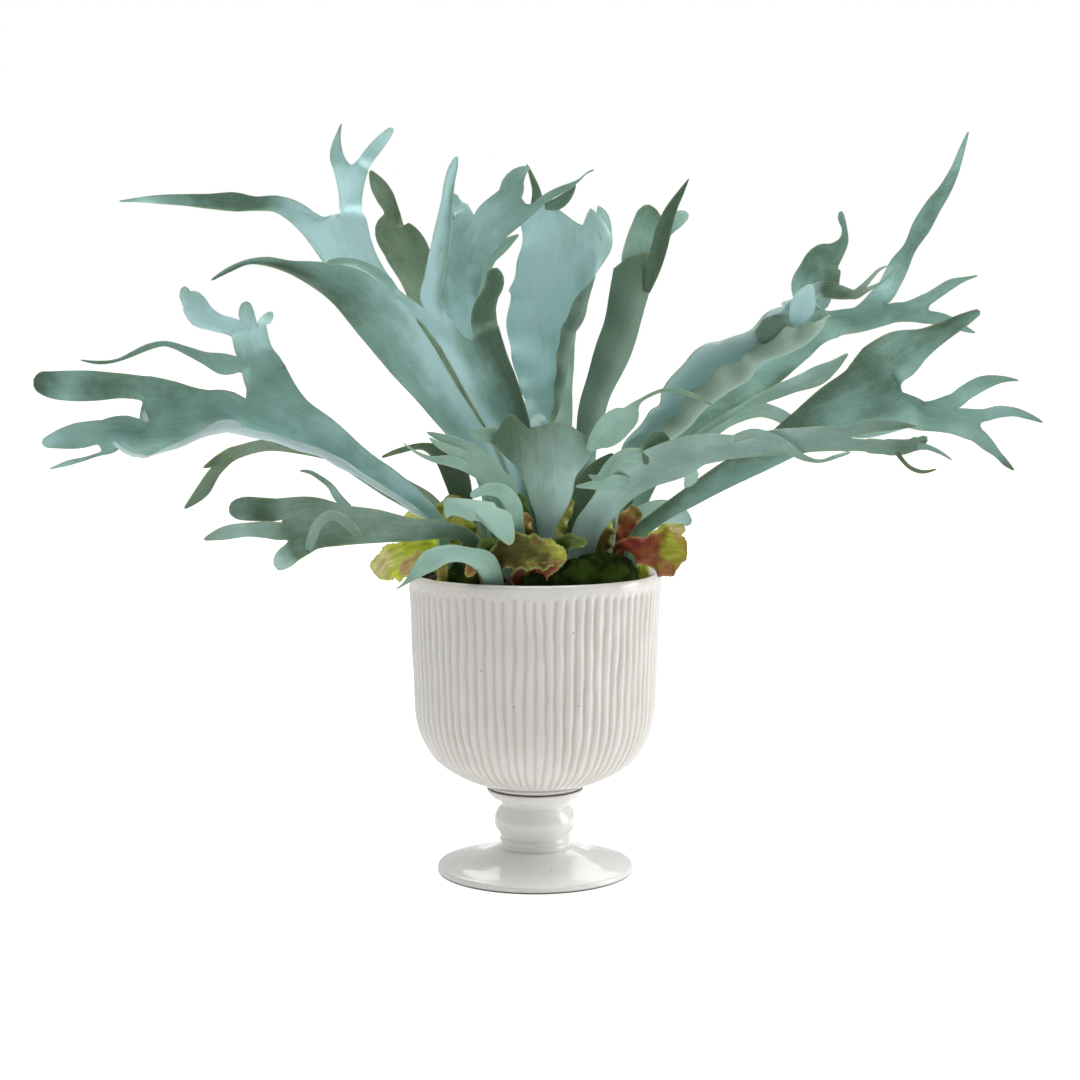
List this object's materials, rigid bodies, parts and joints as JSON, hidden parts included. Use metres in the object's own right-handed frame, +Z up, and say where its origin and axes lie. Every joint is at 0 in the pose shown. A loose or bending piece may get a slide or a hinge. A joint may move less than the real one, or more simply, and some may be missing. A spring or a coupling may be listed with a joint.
{
  "type": "potted staghorn fern",
  "caption": "Staghorn fern with forked grey-green fronds, bronze shield leaves and moss, planted in a fluted white footed urn that stands on a flat base.",
  "frame": {"origin": "middle of the underside of the foot, on the surface it stands on", "axes": "+Z up along the urn's axis, +X along the widest spread of the fronds, -Y towards the viewer"},
  "size_m": [0.7977, 0.3956, 0.6342],
  "materials": {
    "white_glaze": "glossy warm white glaze, fluted",
    "planting_medium": "rough, fibrous bark mix",
    "frond_green": "satin, powdery grey-green",
    "shield_leaf": "satin, olive to bronze",
    "moss": "matte, velvety"
  },
  "bodies": {
    "root": {"frond_arching_olive": "frond_green", "frond_back_arching": "frond_green", "frond_back_left_olive": "frond_green", "frond_back_left_thin": "frond_green", "frond_back_low_left": "frond_green", "frond_back_low_right": "frond_green", "frond_back_right_arch": "frond_green", "frond_back_right_thin": "frond_green", "frond_back_upright": "frond_green", "frond_centre_blue": "frond_green", "frond_centre_left": "frond_green", "frond_centre_wide": "frond_green", "frond_drooping_pale": "frond_green", "frond_front_right": "frond_green", "frond_front_trumpet": "frond_green", "frond_left_antler": "frond_green", "frond_left_lance": "frond_green", "frond_low_left": "frond_green", "frond_low_right": "frond_green", "frond_over_rim": "frond_green", "frond_right_antler": "frond_green", "frond_right_long": "frond_green", "frond_right_wavy": "frond_green", "frond_rolled": "frond_green", "frond_small_left": "frond_green", "frond_top_left": "frond_green", "moss_back_left": "moss", "moss_back_right": "moss", "moss_front": "moss", "moss_front_left": "moss", "moss_front_right": "moss", "moss_left": "moss", "planting_medium": "planting_medium", "shield_back": "shield_leaf", "shield_back_left": "shield_leaf", "shield_back_right": "shield_leaf", "shield_brick": "shield_leaf", "shield_cupped": "shield_leaf", "shield_dark_green": "shield_leaf", "shield_green_brown": "shield_leaf", "shield_green_centre": "shield_leaf", "shield_green_small": "shield_leaf", "shield_left_orange": "shield_leaf", "shield_left_yellow": "shield_leaf", "shield_lime_tip": "shield_leaf", "shield_narrow_yellow": "shield_leaf", "shield_orange_centre": "shield_leaf", "shield_orange_upright": "shield_leaf", "shield_peach": "shield_leaf", "shield_rim_left": "shield_leaf", "shield_small_frill": "shield_leaf", "urn_bowl": "white_glaze", "urn_foot": "white_glaze"}
  },
  "joints": []
}
